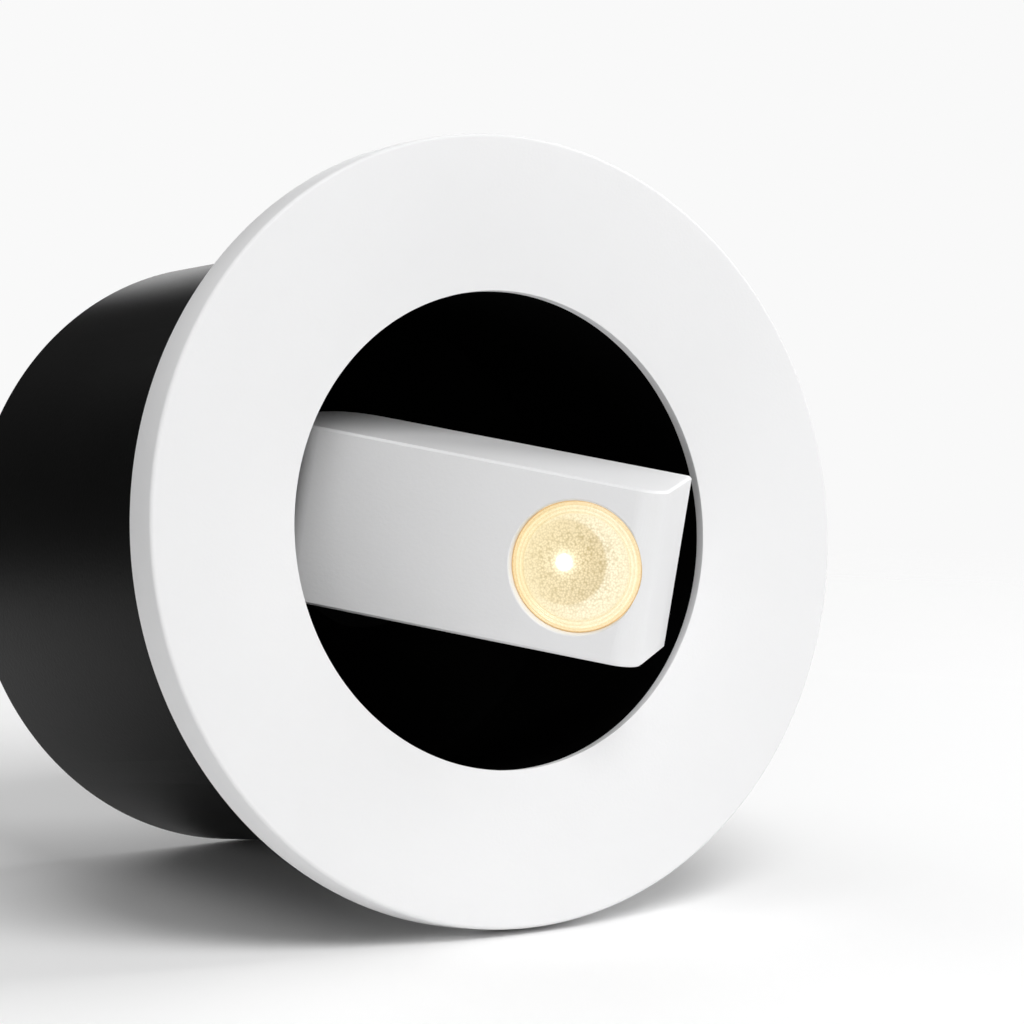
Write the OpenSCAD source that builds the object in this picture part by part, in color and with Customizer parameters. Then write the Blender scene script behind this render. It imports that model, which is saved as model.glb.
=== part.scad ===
// Recessed wall light with a white bar-shaped head on a three-way pivot inside a black cup.
// The cup's axis runs along Y, the front faces -Y and the wall plane is y = 0.
// The head is drawn turned, tilted out and twisted, as it is used.

/* [Trim ring] */
// Outer diameter of the trim ring
ring_d = 80; // [76:1:100]
// Thickness of the trim ring in front of the wall
ring_t = 4.4; // [4:0.1:6]
// Diameter of the opening in the trim ring
ring_bore_d = 48.2; // [48:0.1:50]
// Depth of the thin lip round the opening
lip_t = 1.2; // [1:0.1:1.6]
// Chamfer on the outer front edge of the ring
ring_edge = 0.5; // [0.2:0.1:1]

/* [Housing] */
// Outer diameter of the round housing behind the wall
can_d = 63; // [62:0.5:68]
// Depth of the housing behind the wall plane
can_depth = 53.2; // [52:0.1:60]
// Wall of the housing
can_wall = 1.5; // [1:0.1:2]
// Diameter of the hole for the mains cable
cable_d = 6; // [5:0.5:7]

/* [Cup] */
// Inner diameter of the black cup
cup_d = 49; // [48.6:0.1:50]
// Wall of the black cup
cup_wall = 1.2; // [1:0.1:1.4]
// Distance of the cup's floor behind the wall plane
cup_floor_y = 26; // [25:0.5:28]
// Thickness of the cup's floor
cup_floor_t = 2; // [1.6:0.1:2.6]

/* [Head] */
// Length of the head
head_l = 38.8; // [38:0.1:40]
// Height of the head
head_h = 18.1; // [17.6:0.1:19]
// Depth of the head from front to back
head_d = 14; // [13.6:0.1:14.6]
// Distance from the pivot to the lens end of the head
head_reach = 20.9; // [20.5:0.1:21.2]
// Rounding of the upright front edges of the head
head_front_r = 2.8; // [2:0.1:3]
// Rounding of the upright back edge at the plain end
head_back_r = 6; // [4:0.5:7]
// Bevel along the long front edges
head_bevel = 0.45; // [0.2:0.05:0.6]
// Wall of the head above and below its cavities
head_wall = 1.45; // [1.3:0.05:1.8]
// Distance of the pivot behind the wall plane
pivot_y = 3; // [2.6:0.1:3.4]

/* [Lens] */
// Diameter of the lens
lens_d = 13.3; // [12:0.1:13.4]
// Thickness of the lens
lens_t = 1.4; // [1.2:0.1:1.6]
// Distance from the centre of the lens to the end of the head
lens_to_end = 7.8; // [7.6:0.1:8.4]
// Depth of the lens below the front of the head
lens_recess = 0.7; // [0.5:0.05:0.9]

/* [Pose] */
// Turn of the head about the axis of the cup
turn_deg = 21; // [-165:1:165]
// Tilt of the lens end out of the cup
tilt_deg = 42; // [0:1:50]
// Twist of the head about its own length
twist_deg = 21.5; // [-25:0.5:25]

/* [Hidden] */
$fn = 96;
// Overrun of every cut
over = 1;
// Running clearance on a radius
run_gap = 0.05;
// Clearance between flat faces that slide
slide_gap = 0.1;
ring_r = ring_d / 2;
ring_bore_r = ring_bore_d / 2;
can_r = can_d / 2;
can_in_r = can_r - can_wall;
cup_in_r = cup_d / 2;
cup_out_r = cup_in_r + cup_wall;
cup_back_y = cup_floor_y + cup_floor_t;

// Rim of the cup that the ring and the housing clamp
rim_t = 1;
rim_w = 0.8;
rim_r = cup_out_r + rim_w;

// Inward flange of the housing and the screws that hold the ring
flange_t = 1.6;
flange_gap = 0.2;
ring_screw_shank_r = 1;
ring_screw_head_r = 1.6;
ring_screw_head_h = 1.4;
ring_screw_bite = 2.6;
ring_screws_n = 3;
ring_screw_circle = (rim_r + can_in_r) / 2;
ring_screw_play = 0.2;

// Gasket in the back of the ring
gasket_in_share = 0.18;
gasket_out_share = 0.76;
gasket_in_r = can_r + gasket_in_share * (ring_r - can_r);
gasket_out_r = can_r + gasket_out_share * (ring_r - can_r);
gasket_t = 0.8;

// Rear cover, its screws and bosses
cover_t = 2;
cover_boss_r = 2.6;
cover_boss_l = 7;
cover_boss_sink = 0.2;
cover_screw_r = 1;
cover_screw_head_r = 2;
cover_screw_head_h = 1.1;
cover_screw_l = 6.5;
cover_circle = can_in_r - cover_boss_r + cover_boss_sink;
cover_y = can_depth - cover_t;
cover_turn = 30;

// Grommet in the rear cover
grommet_wall = 2;
grommet_lip = 1.5;
grommet_lip_t = 1.2;
grommet_z = -12;
cable_r = cable_d / 2;

// Side holes that fix the housing in the wall
fix_hole_r = 2.1;
fix_hole_y = 14;
fix_hole_turns = [45, -45];

// Spindle that turns in the floor of the cup
hub_r = 9;
hub_t = 1.9;
stem_r = 4;
stem_bore_r = 1.5;
washer_r = 7;
washer_t = 0.8;
nut_t = 2.5;
stem_end = 1;
hub_y = cup_floor_y - slide_gap - hub_t;
washer_y = cup_back_y + run_gap;
nut_y = washer_y + washer_t;
stem_l = nut_y + nut_t + stem_end - hub_y;

// Lug on the nut and stop on the cup, which limit the turn
lug_reach = 9.6;
lug_w = 1.4;
lug_root = 1;
stop_w = 1.4;
stop_in = 8.2;
stop_out = 9.8;

// Fork on the spindle
fork_w = 6;
fork_in = 2.3;
fork_t = 1.2;
fork_base_t = 1.2;
fork_base_l = 15;
fork_base_y = hub_y - fork_base_t;
fork_screw_at = 5.6;
fork_screw_r = 0.9;
fork_screw_head_r = 1.5;
fork_screw_head_h = 1.2;
fork_screw_bite = 1.5;
pin_r = 1;

// Knuckle on the tilt pin and its axle
knuckle_r = 2.9;
knuckle_h = 2 * (fork_in - slide_gap);
axle_r = 1.6;
bearing_start = 3.4;
bearing_end = 8;
bush_wall = 0.95;
clip_t = 0.7;
clip_r = 2.7;
axle_tip = 0.4;
axle_end = bearing_end + slide_gap + clip_t + axle_tip;
module_gap = 0.3;
module_left = axle_end + module_gap;

// Head, measured from the pivot
head_right = head_reach;
head_left = head_reach - head_l;
head_front = -head_d / 2;
head_back = head_d / 2;
pocket_end_wall = 3.3;
pocket_left = head_left + pocket_end_wall;
pocket_front = -4.85;
pocket_h = head_h - 2 * head_wall;
lens_x = head_right - lens_to_end;
lens_r = lens_d / 2;
lens_seat_gap = 0.05;
lens_front = head_front + lens_recess;
lens_back = lens_front + lens_t;
cavity_left = 5;
cavity_end_wall = 1.4;
cavity_right = head_right - cavity_end_wall;
cavity_rib = 0.2;
cavity_h = pocket_h - 2 * cavity_rib;
cavity_play = 0.05;
shelf_back = -3;
board_t = 0.8;
board_h = 8.6;
board_back = -0.7;
board_front = board_back - board_t;
chip_w = 3;
chip_t = 0.6;
optic_r = 6.9;
optic_mouth_r = 5.9;
optic_throat_r = 2.4;
optic_neck_r = lens_x - module_left;
optic_collar_t = 1.8;
optic_wall = 0.6;
back_plate_t = 1.4;
back_plate_left = 4.3;
back_plate_seat = 0.5;
back_plate_h = cavity_h + 2 * back_plate_seat;
back_plate_gap = 0.1;
back_plate_front = head_back - back_plate_t;
sink_left = 11;
sink_back = 3;
sink_gap = 0.15;
sink_post_r = 2.2;
head_screw_r = 0.9;
head_screw_head_r = 1.5;
head_screw_head_h = 0.8;
head_screw_l = 4;
head_screw_off = 0.9;
head_screw_left_x = (bearing_start + bearing_end) / 2 + head_screw_off;
head_screw_left_z = 5.2;
head_screw_from_end = 3.6;
head_screw_right_x = head_right - head_screw_from_end;
head_lead_r = 0.5;
head_lead_z = 3.5;

// Driver board and what stands on it
post_r = 2;
post_circle = 20;
post_l = 8;
pcb_r = 23;
pcb_t = 1.6;
pcb_hole_r = 4;
pcb_y = cup_back_y + post_l;
pcb_back = pcb_y + pcb_t;
pcb_screw_r = 1;
pcb_screw_head_r = 1.8;
pcb_screw_head_h = 1.3;
pcb_screw_l = 4;
driver_room = cover_y - grommet_lip_t - pcb_back;
coil_share = 0.8;
coil_size = [15, coil_share * driver_room, 13];
coil_at = [-9.5, 6.5];
cap_r = 4;
cap_share = 0.88;
cap_l = cap_share * driver_room;
cap_at = [10.5, 7.5];
terminal_share = 0.72;
terminal_size = [17, terminal_share * driver_room, 9];
terminal_z = -3;
terminal_x = 0;
terminal_pitch = 8;
terminal_screw_share = 0.18;
terminal_screw_r = terminal_screw_share * terminal_size[1];
terminal_screw_h = 0.8;
terminal_hole_r = 1.2;
lead_r = 0.8;
lead_gap = 0.3;

white = [0.93, 0.93, 0.92];
black = [0.06, 0.06, 0.06];
steel = [0.72, 0.73, 0.75];
brass = [0.80, 0.66, 0.34];
board_green = [0.12, 0.38, 0.22];
warm_glass = [0.98, 0.90, 0.70];

// Stands a shape that is drawn along Z on the axis of the cup, from y0 towards the back
module along_y(y0) {
    translate([0, y0, 0]) rotate([-90, 0, 0]) children();
}

// A ring along the axis of the cup
module ring_y(r_out, r_in, y0, y1) {
    along_y(y0) difference() {
        cylinder(r = r_out, h = y1 - y0);
        translate([0, 0, -over]) cylinder(r = r_in, h = y1 - y0 + 2 * over);
    }
}

// A rod along the axis of the cup, at x and z
module rod_y(x, z, r, y0, y1) {
    translate([x, 0, z]) along_y(y0) cylinder(r = r, h = y1 - y0);
}

// Copies the children round the axis of the cup
module round_y(n, start = 0) {
    for (i = [0 : n - 1]) rotate([0, start + i * 360 / n, 0]) children();
}

// A box given by two corners
module span(a, b) {
    translate(a) cube(b - a);
}

// The turned frame of the spindle, with its origin on the pivot
module turned() {
    translate([0, pivot_y, 0]) rotate([0, turn_deg, 0]) children();
}

// The tilted frame of the knuckle
module tilted() {
    turned() rotate([0, 0, -tilt_deg]) children();
}

// The twisted frame of the head
module twisted() {
    tilted() rotate([twist_deg, 0, 0]) children();
}

// A rod along the length of the head
module rod_x(x0, x1, r) {
    translate([x0, 0, 0]) rotate([0, 90, 0]) cylinder(r = r, h = x1 - x0);
}

// A straight round wire with ball ends
module wire(a, b, r) {
    v = b - a;
    l = norm(v);
    translate(a) rotate([0, acos(v[2] / l), atan2(v[1], v[0])]) cylinder(r = r, h = l, $fn = 24);
    translate(a) sphere(r = r, $fn = 24);
    translate(b) sphere(r = r, $fn = 24);
}

module trim_ring() {
    color(white) difference() {
        rotate([-90, 0, 0]) rotate_extrude() polygon([
            [ring_bore_r, -ring_t],
            [ring_r - ring_edge, -ring_t],
            [ring_r, -ring_t + ring_edge],
            [ring_r, 0],
            [gasket_out_r, 0],
            [gasket_out_r, -gasket_t],
            [gasket_in_r, -gasket_t],
            [gasket_in_r, 0],
            [rim_r + run_gap, 0],
            [rim_r + run_gap, -rim_t],
            [cup_out_r + run_gap, -rim_t],
            [cup_out_r + run_gap, -ring_t + lip_t],
            [ring_bore_r, -ring_t + lip_t]
        ]);
        round_y(ring_screws_n) rod_y(0, ring_screw_circle, ring_screw_shank_r, -ring_screw_bite, over);
    }
}

module wall_gasket() {
    color([0.2, 0.2, 0.2]) ring_y(gasket_out_r, gasket_in_r, -gasket_t, 0);
}

module housing_can() {
    color(black) difference() {
        union() {
            ring_y(can_r, can_in_r, 0, can_depth);
            ring_y(can_in_r + can_wall / 2, cup_out_r + flange_gap, 0, flange_t);
            intersection() {
                round_y(3, cover_turn) rod_y(0, cover_circle, cover_boss_r, cover_y - cover_boss_l, cover_y);
                rod_y(0, 0, can_in_r + can_wall / 2, 0, can_depth);
            }
        }
        round_y(ring_screws_n)
            rod_y(0, ring_screw_circle, ring_screw_shank_r + ring_screw_play, -over, flange_t + over);
        round_y(3, cover_turn) rod_y(0, cover_circle, cover_screw_r, cover_y - cover_boss_l, cover_y + over);
        for (a = fix_hole_turns)
            translate([0, fix_hole_y, 0]) rotate([0, 90 - a, 0]) cylinder(r = fix_hole_r, h = can_r + over);
    }
}

module light_cup() {
    color(black) difference() {
        union() {
            ring_y(cup_out_r, cup_in_r, -ring_t + lip_t + run_gap, cup_back_y);
            ring_y(rim_r, cup_out_r - cup_wall / 2, -rim_t, 0);
            ring_y(cup_out_r - cup_wall / 2, stem_r + run_gap, cup_floor_y, cup_back_y);
            span([-stop_w / 2, cup_back_y - over, -stop_out], [stop_w / 2, nut_y + nut_t, -stop_in]);
            round_y(3) rod_y(0, post_circle, post_r, cup_back_y - over, pcb_y);
        }
        round_y(3) rod_y(0, post_circle, pcb_screw_r, pcb_y - pcb_screw_l, pcb_y + over);
    }
}

module ring_screws() {
    color(steel) round_y(ring_screws_n) {
        rod_y(0, ring_screw_circle, ring_screw_shank_r, -ring_screw_bite, flange_t);
        rod_y(0, ring_screw_circle, ring_screw_head_r, flange_t, flange_t + ring_screw_head_h);
    }
}

module rear_cover() {
    color(black) difference() {
        rod_y(0, 0, can_in_r - run_gap, cover_y, can_depth);
        rod_y(0, grommet_z, cable_r + grommet_wall, cover_y - over, can_depth + over);
        round_y(3, cover_turn) {
            rod_y(0, cover_circle, cover_screw_r, cover_y - over, can_depth + over);
            rod_y(0, cover_circle, cover_screw_head_r, can_depth - cover_screw_head_h, can_depth + over);
        }
    }
}

module rear_cover_screws() {
    color(steel) round_y(3, cover_turn) {
        rod_y(0, cover_circle, cover_screw_r, can_depth - cover_screw_l, can_depth - cover_screw_head_h);
        rod_y(0, cover_circle, cover_screw_head_r, can_depth - cover_screw_head_h, can_depth);
    }
}

module cable_grommet() {
    color([0.15, 0.15, 0.15]) translate([0, 0, grommet_z]) {
        ring_y(cable_r + grommet_wall, cable_r, cover_y - grommet_lip_t, can_depth);
        ring_y(cable_r + grommet_wall + grommet_lip, cable_r + grommet_wall / 2, cover_y - grommet_lip_t, cover_y);
    }
}

module driver_board() {
    color(board_green) difference() {
        ring_y(pcb_r, pcb_hole_r, pcb_y, pcb_back);
        round_y(3) rod_y(0, post_circle, pcb_screw_r, pcb_y - over, pcb_back + over);
    }
}

module driver_board_screws() {
    color(steel) round_y(3) {
        rod_y(0, post_circle, pcb_screw_r, pcb_y - pcb_screw_l, pcb_back);
        rod_y(0, post_circle, pcb_screw_head_r, pcb_back, pcb_back + pcb_screw_head_h);
    }
}

module driver_coil() {
    color([0.85, 0.72, 0.2]) translate([coil_at[0] - coil_size[0] / 2, pcb_back, coil_at[1] - coil_size[2] / 2])
        cube(coil_size);
}

module driver_capacitor() {
    color([0.1, 0.14, 0.3]) rod_y(cap_at[0], cap_at[1], cap_r, pcb_back, pcb_back + cap_l);
}

module terminal_block() {
    color([0.9, 0.9, 0.88]) difference() {
        translate([terminal_x - terminal_size[0] / 2, pcb_back, terminal_z - pcb_hole_r - terminal_size[2]])
            cube(terminal_size);
        for (s = [-1, 1]) {
            rod_y(terminal_x + s * terminal_pitch / 2, terminal_z - pcb_hole_r - terminal_size[2] / 2,
                terminal_hole_r, pcb_back + terminal_size[1] / 2, pcb_back + terminal_size[1] + over);
            translate([terminal_x + s * terminal_pitch / 2, pcb_back + terminal_size[1] / 2,
                terminal_z - pcb_hole_r - terminal_screw_h])
                cylinder(r = terminal_screw_r, h = terminal_screw_h + over);
        }
    }
}

module terminal_screws() {
    color(brass) for (s = [-1, 1])
        translate([terminal_x + s * terminal_pitch / 2, pcb_back + terminal_size[1] / 2,
            terminal_z - pcb_hole_r - terminal_screw_h])
            cylinder(r = terminal_screw_r, h = terminal_screw_h);
}

module output_leads() {
    x = lead_r + run_gap;
    y0 = nut_y + nut_t + stem_end + lead_gap + lead_r;
    color([0.7, 0.1, 0.1]) for (s = [-1, 1])
        wire([s * x, y0, 0], [s * x, pcb_back + lead_r, 0], lead_r);
    color([0.7, 0.1, 0.1]) for (s = [-1, 1])
        wire([s * x, pcb_back + lead_r, 0], [s * x, pcb_back + lead_r, pcb_hole_r + lead_r], lead_r);
}

module turret_hub() {
    color(steel) translate([0, -pivot_y, 0]) turned() difference() {
        union() {
            rod_y(0, 0, hub_r, hub_y, hub_y + hub_t);
            rod_y(0, 0, stem_r, hub_y, hub_y + stem_l);
        }
        rod_y(0, 0, stem_bore_r, hub_y - over, hub_y + stem_l + over);
        for (s = [-1, 1]) rod_y(0, s * fork_screw_at, fork_screw_r, hub_y - over, hub_y + fork_screw_bite);
    }
}

module fork() {
    color(black) turned() difference() {
        union() {
            span([-fork_w / 2, fork_base_y - pivot_y, -fork_base_l / 2], [fork_w / 2, hub_y - pivot_y, fork_base_l / 2]);
            for (s = [-1, 1]) translate([0, 0, s * (fork_in + fork_t / 2) - fork_t / 2]) {
                translate([-fork_w / 2, 0, 0]) cube([fork_w, hub_y - pivot_y, fork_t]);
                cylinder(r = fork_w / 2, h = fork_t);
            }
        }
        translate([0, 0, -fork_in - fork_t - over]) cylinder(r = pin_r, h = 2 * (fork_in + fork_t + over));
        rod_y(0, 0, stem_bore_r, fork_base_y - pivot_y - over, hub_y - pivot_y + over);
        for (s = [-1, 1])
            rod_y(0, s * fork_screw_at, fork_screw_r, fork_base_y - pivot_y - over, hub_y - pivot_y + over);
    }
}

module fork_screws() {
    color(steel) turned() for (s = [-1, 1]) {
        rod_y(0, s * fork_screw_at, fork_screw_r, fork_base_y - pivot_y, hub_y - pivot_y + fork_screw_bite);
        rod_y(0, s * fork_screw_at, fork_screw_head_r, fork_base_y - pivot_y - fork_screw_head_h,
            fork_base_y - pivot_y);
    }
}

module tilt_pin() {
    color(steel) turned() translate([0, 0, -fork_in - fork_t]) cylinder(r = pin_r, h = 2 * (fork_in + fork_t));
}

module friction_washer() {
    color([0.35, 0.2, 0.12]) translate([0, -pivot_y, 0]) turned() ring_y(washer_r, stem_r, washer_y, nut_y);
}

module retaining_nut() {
    color(brass) translate([0, -pivot_y, 0]) turned() {
        ring_y(washer_r, stem_r, nut_y, nut_y + nut_t);
        span([-lug_w / 2, nut_y, stem_r + lug_root], [lug_w / 2, nut_y + nut_t, lug_reach]);
    }
}

module knuckle() {
    color(steel) tilted() difference() {
        union() {
            translate([0, 0, -knuckle_h / 2]) cylinder(r = knuckle_r, h = knuckle_h);
            rod_x(knuckle_r / 2, axle_end, axle_r);
        }
        translate([0, 0, -knuckle_h / 2 - over]) cylinder(r = pin_r + run_gap, h = knuckle_h + 2 * over);
    }
}

module axle_clip() {
    color(steel) tilted() difference() {
        rod_x(bearing_end + slide_gap, bearing_end + slide_gap + clip_t, clip_r);
        rod_x(bearing_end - over, axle_end + over, axle_r);
    }
}

// Outline of the head, seen from above
module head_plan() {
    polygon([
        [head_left, head_back - head_back_r],
        [head_left, head_front + head_front_r],
        [head_left + head_front_r, head_front],
        [head_right - head_front_r, head_front],
        [head_right, head_front + head_front_r],
        [head_right, head_back],
        [head_left + head_back_r, head_back]
    ]);
    translate([head_left + head_back_r, head_back - head_back_r]) circle(r = head_back_r);
    translate([head_left + head_front_r, head_front + head_front_r]) circle(r = head_front_r);
    translate([head_right - head_front_r, head_front + head_front_r]) circle(r = head_front_r);
}

// Solid of the head before it is hollowed
module head_block() {
    intersection() {
        translate([0, 0, -head_h / 2]) linear_extrude(head_h) head_plan();
        translate([head_left - over, 0, 0]) rotate([90, 0, 90]) linear_extrude(head_l + 2 * over) polygon([
            [head_front, head_bevel - head_h / 2],
            [head_front + head_bevel, -head_h / 2],
            [head_back, -head_h / 2],
            [head_back, head_h / 2],
            [head_front + head_bevel, head_h / 2],
            [head_front, head_h / 2 - head_bevel]
        ]);
    }
}

// Places of the three screws in the back of the head
module head_screw_places() {
    for (s = [-1, 1]) translate([head_screw_left_x, 0, s * head_screw_left_z]) children();
    translate([head_screw_right_x, 0, 0]) children();
}

module head_shell() {
    color(white) twisted() difference() {
        head_block();
        span([pocket_left, pocket_front, -pocket_h / 2], [bearing_start, head_back + over, pocket_h / 2]);
        span([cavity_left, lens_back, -cavity_h / 2], [cavity_right, shelf_back, cavity_h / 2]);
        span([bearing_end, shelf_back - over, -cavity_h / 2], [cavity_right, head_back + over, cavity_h / 2]);
        span([back_plate_left, back_plate_front, -back_plate_h / 2],
            [cavity_right + back_plate_gap, head_back + over, back_plate_h / 2]);
        translate([lens_x, 0, 0]) along_y(head_front - over)
            cylinder(r = lens_r + lens_seat_gap, h = lens_back - head_front + over);
        rod_x(bearing_start - over, bearing_end + over, axle_r + run_gap + bush_wall);
        for (s = [-1, 1])
            rod_y(head_screw_left_x, s * head_screw_left_z, head_screw_r, head_back - head_screw_l, head_back);
    }
}

module head_back_plate() {
    color(white) twisted() difference() {
        span([back_plate_left + back_plate_gap, back_plate_front, back_plate_gap - back_plate_h / 2],
            [cavity_right, head_back, back_plate_h / 2 - back_plate_gap]);
        head_screw_places() {
            rod_y(0, 0, head_screw_r, back_plate_front - over, head_back + over);
            rod_y(0, 0, head_screw_head_r, head_back - head_screw_head_h, head_back + over);
        }
    }
}

module back_plate_screws() {
    color(steel) twisted() head_screw_places() {
        rod_y(0, 0, head_screw_r, head_back - head_screw_l, head_back - head_screw_head_h);
        rod_y(0, 0, head_screw_head_r, head_back - head_screw_head_h, head_back);
    }
}

module axle_bush() {
    color(brass) twisted() difference() {
        rod_x(bearing_start, bearing_end, axle_r + run_gap + bush_wall);
        rod_x(bearing_start - over, bearing_end + over, axle_r + run_gap);
    }
}

module lens() {
    color(warm_glass) twisted() translate([lens_x, 0, 0]) along_y(lens_front) cylinder(r = lens_r, h = lens_t);
}

// Room that the cavity leaves for what lies in it, drawn along Z from the centre of the lens
module in_cavity(left, h) {
    span([left + cavity_play - lens_x, cavity_play - cavity_h / 2, -over],
        [cavity_right - cavity_play - lens_x, cavity_h / 2 - cavity_play, h + over]);
}

module optic() {
    color([0.85, 0.85, 0.85]) twisted() translate([lens_x, 0, 0]) along_y(lens_back) difference() {
        union() {
            intersection() {
                cylinder(r = optic_r, h = optic_collar_t);
                in_cavity(cavity_left, optic_collar_t);
            }
            intersection() {
                cylinder(r = optic_neck_r, h = board_front - lens_back);
                in_cavity(module_left, board_front - lens_back);
            }
        }
        rotate_extrude() polygon([
            [0, -over],
            [optic_mouth_r, -over],
            [optic_mouth_r, 0],
            [optic_neck_r - optic_wall, optic_collar_t - optic_wall],
            [optic_throat_r, board_front - lens_back],
            [optic_throat_r, board_front - lens_back + over],
            [0, board_front - lens_back + over]
        ]);
    }
}

module led_board() {
    color([0.95, 0.95, 0.95]) twisted()
        span([module_left, board_front, -board_h / 2], [2 * lens_x - module_left, board_back, board_h / 2]);
}

module led_chip() {
    color([0.98, 0.85, 0.4]) twisted()
        span([lens_x - chip_w / 2, board_front - chip_t, -chip_w / 2], [lens_x + chip_w / 2, board_front, chip_w / 2]);
}

module heat_block() {
    color([0.78, 0.78, 0.8]) twisted() difference() {
        union() {
            span([sink_left, board_back, sink_gap - cavity_h / 2],
                [cavity_right - sink_gap, sink_back, cavity_h / 2 - sink_gap]);
            rod_y(head_screw_right_x, 0, sink_post_r, sink_back - over, back_plate_front);
        }
        rod_y(head_screw_right_x, 0, head_screw_r, head_back - head_screw_l, back_plate_front + over);
    }
}

module head_leads() {
    x = (module_left + sink_left) / 2;
    color([0.7, 0.1, 0.1]) twisted() for (s = [-1, 1])
        wire([x, board_back + head_lead_r, s * head_lead_z], [x, back_plate_front - head_lead_r, s * head_lead_z],
            head_lead_r);
}

trim_ring();
wall_gasket();
housing_can();
light_cup();
ring_screws();
rear_cover();
rear_cover_screws();
cable_grommet();
driver_board();
driver_board_screws();
driver_coil();
driver_capacitor();
terminal_block();
terminal_screws();
output_leads();
turret_hub();
fork();
fork_screws();
tilt_pin();
friction_washer();
retaining_nut();
knuckle();
axle_clip();
head_shell();
head_back_plate();
back_plate_screws();
axle_bush();
lens();
optic();
led_board();
led_chip();
heat_block();
head_leads();
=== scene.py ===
import math

import bmesh
import bpy
from mathutils import Matrix, Vector


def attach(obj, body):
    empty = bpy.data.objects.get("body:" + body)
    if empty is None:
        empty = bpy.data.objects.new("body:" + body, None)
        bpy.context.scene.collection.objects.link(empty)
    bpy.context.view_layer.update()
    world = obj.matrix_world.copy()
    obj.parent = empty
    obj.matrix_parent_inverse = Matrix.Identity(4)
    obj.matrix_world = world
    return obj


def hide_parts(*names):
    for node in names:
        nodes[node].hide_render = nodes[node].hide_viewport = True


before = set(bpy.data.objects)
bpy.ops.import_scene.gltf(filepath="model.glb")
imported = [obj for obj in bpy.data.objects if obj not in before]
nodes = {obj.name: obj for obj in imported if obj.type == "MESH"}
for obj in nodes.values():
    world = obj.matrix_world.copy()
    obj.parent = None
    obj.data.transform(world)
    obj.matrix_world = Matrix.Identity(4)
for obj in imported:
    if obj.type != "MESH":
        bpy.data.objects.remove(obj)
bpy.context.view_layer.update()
bpy.ops.object.select_all(action="DESELECT")

# ---------------------------------------------------------------------------------------------------------------
# Trim ring: a flat round plate of painted metal that covers the rim of the hole in the wall. It is turned, with
# softly broken edges and a thin lip round its opening. Its back has a groove for the gasket and a seat for the cup.
MM = 0.001
SAME_PLACE = 1e-6
LATHE = Matrix.Rotation(math.radians(-90), 4, "X")
RING_R, RING_T, BORE_R, LIP_T = 40.0, 4.4, 24.1, 1.2
GROOVE_IN_R, GROOVE_OUT_R, GROOVE_D = 33.0, 38.0, 0.8
CUP_R, CUP_SEAT_R, CUP_SEAT_D = 25.75, 26.55, 1.0
RING_FRONT_EDGE, RING_BACK_EDGE, BORE_EDGE = 0.4, 0.12, 0.06


def only(piece):
    bpy.ops.object.select_all(action="DESELECT")
    piece.select_set(True)
    bpy.context.view_layer.objects.active = piece


def pick_rounds(piece, rounds):
    """Selects the round edges of a piece in edit mode that lie at the given (radius, depth) places."""
    mesh = bmesh.from_edit_mesh(piece.data)
    for edge in mesh.edges:
        for radius, depth in rounds:
            if all(abs(math.hypot(v.co.x, v.co.y) - radius * MM) < SAME_PLACE
                   and abs(v.co.z - depth * MM) < SAME_PLACE for v in edge.verts):
                edge.select_set(True)
    bmesh.update_edit_mesh(piece.data)


def turned(name, outline, sides, solid=True):
    """Draws a circle and pulls it along Z through (radius, depth) places. A solid piece keeps its end caps, and
    an open one, with a bore, is closed from its last round edge to its first."""
    radius, depth = outline[0]
    bpy.ops.mesh.primitive_circle_add(vertices=sides, radius=radius * MM, fill_type="NGON" if solid else "NOTHING")
    piece = bpy.context.object
    piece.name = name
    bpy.ops.object.mode_set(mode="EDIT")
    bpy.ops.mesh.select_mode(type="EDGE")
    bpy.ops.mesh.select_all(action="SELECT")
    bpy.ops.transform.translate(value=(0, 0, depth * MM))
    for next_radius, next_depth in outline[1:]:
        bpy.ops.mesh.extrude_region_move(TRANSFORM_OT_translate={"value": (0, 0, (next_depth - depth) * MM)})
        widening = next_radius / radius
        bpy.ops.transform.resize(value=(widening, widening, 1), center_override=(0, 0, next_depth * MM))
        radius, depth = next_radius, next_depth
    if not solid:
        pick_rounds(piece, [outline[0]])
        bpy.ops.mesh.bridge_edge_loops()
    bpy.ops.mesh.select_all(action="SELECT")
    bpy.ops.mesh.normals_make_consistent(inside=False)
    bpy.ops.object.mode_set(mode="OBJECT")
    return piece


def soften(piece, radius, *rounds):
    """Rounds the given round edges of a turned piece."""
    only(piece)
    bpy.ops.object.mode_set(mode="EDIT")
    bpy.ops.mesh.select_all(action="DESELECT")
    pick_rounds(piece, rounds)
    bpy.ops.mesh.bevel(offset=radius * MM, segments=5, profile=0.5, affect="EDGES")
    bpy.ops.object.mode_set(mode="OBJECT")


def smoothed(piece, angle=35.0):
    only(piece)
    bpy.ops.object.shade_smooth_by_angle(angle=math.radians(angle))


def settle(piece, place, angle=35.0):
    """Puts a piece where it belongs, writes that place into its mesh, and smooths its round stretches."""
    piece.matrix_world = place
    only(piece)
    bpy.ops.object.transform_apply(location=True, rotation=True, scale=True)
    smoothed(piece, angle)
    piece.select_set(False)
    return piece


def hand_over(piece, material, body, slot, *replaced):
    """Gives a finished piece its material and body, in place of the CAD nodes that it stands for. The slot is not
    used.
    """
    piece.data.materials.clear()
    piece.data.materials.append(material)
    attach(piece, body)
    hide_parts(*replaced)


def new_material(name, color, roughness, metallic=0.0):
    material = bpy.data.materials.new(name)
    material.use_nodes = True
    surface = material.node_tree.nodes["Principled BSDF"]
    surface.inputs["Base Color"].default_value = (*color, 1.0)
    surface.inputs["Roughness"].default_value = roughness
    surface.inputs["Metallic"].default_value = metallic
    return material, material.node_tree.nodes, material.node_tree.links, surface


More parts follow.
